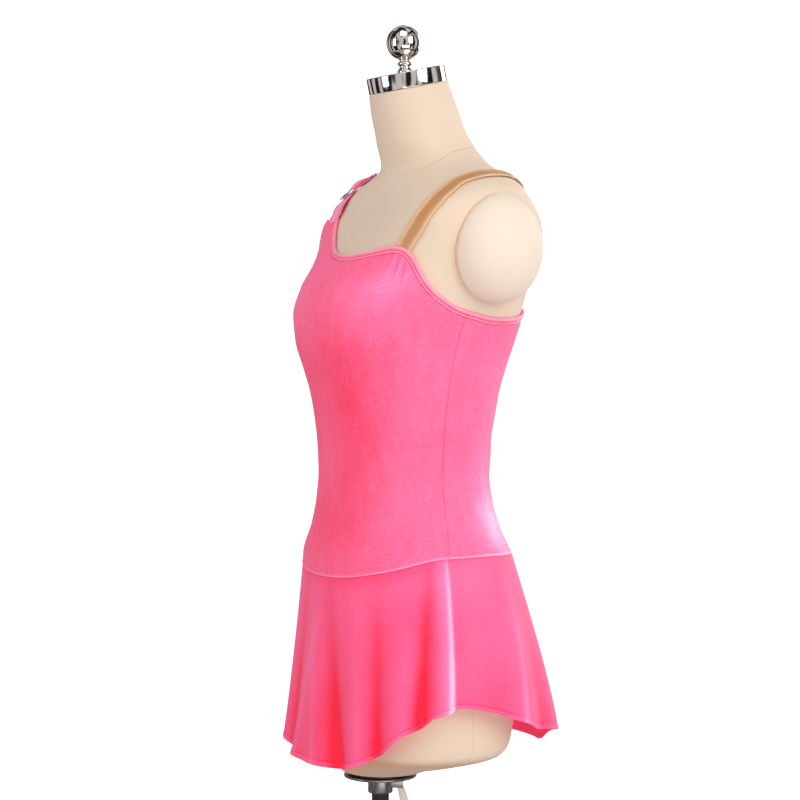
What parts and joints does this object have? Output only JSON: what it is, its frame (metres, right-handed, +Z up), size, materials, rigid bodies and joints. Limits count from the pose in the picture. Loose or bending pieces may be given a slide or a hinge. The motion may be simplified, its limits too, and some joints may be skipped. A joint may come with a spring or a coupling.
{
  "type": "figure skating dress on a limbless dress form",
  "caption": "Sleeveless figure skating dress with a flared, folded skirt and an uneven hem, one pink and one nude strap, standing on a limbless dress form with a pole stand.",
  "frame": {"origin": "middle of the base's underside, on the axis of the pole", "axes": "+Z up along the pole, -Y the way the dress faces, +X the wearer's left"},
  "size_m": [0.3846, 0.3853, 1.3315],
  "materials": {
    "bodice_fabric": "satin",
    "skirt_fabric": "matte",
    "binding_fabric": "satin",
    "nude_strap": "satin",
    "strap_metal": "polished",
    "form_cover": "matte",
    "cap_chrome": "polished",
    "clamp_metal": "satin",
    "black_metal": "satin",
    "lever_plastic": "satin"
  },
  "bodies": {
    "stand": {"base": "black_metal", "pole": "black_metal"},
    "clamp": {"collar": "clamp_metal"},
    "lever": {"lever": "lever_plastic"},
    "form": {"form": "form_cover", "arm_pad_left": "form_cover", "arm_pad_right": "form_cover", "neck_cap": "cap_chrome", "finial": "cap_chrome", "form_plate": "clamp_metal", "form_spacer": "black_metal", "bodice_front": "bodice_fabric", "bodice_back": "bodice_fabric", "neckline_binding": "binding_fabric", "armhole_binding": "binding_fabric", "back_binding": "binding_fabric", "skirt_front": "skirt_fabric", "skirt_back": "skirt_fabric", "strap_right": "binding_fabric", "strap_right_loop": "binding_fabric", "strap_left": "nude_strap", "strap_slider": "strap_metal", "strap_ring": "strap_metal"}
  },
  "joints": [
    {"name": "pole_slide", "type": "slide", "parent": "stand", "child": "clamp", "axis": [0, 0, 1], "range_m": [0, 0.2]},
    {"name": "form_swivel", "type": "hinge", "parent": "clamp", "child": "form", "pos_m": [0, 0, 0.47], "axis": [0, 0, 1], "continuous": true},
    {"name": "lever_turn", "type": "hinge", "parent": "clamp", "child": "lever", "pos_m": [0.0093, 0.01994, 0.462], "axis": [0.9063, -0.4226, 0], "range_deg": [0, 70]}
  ]
}
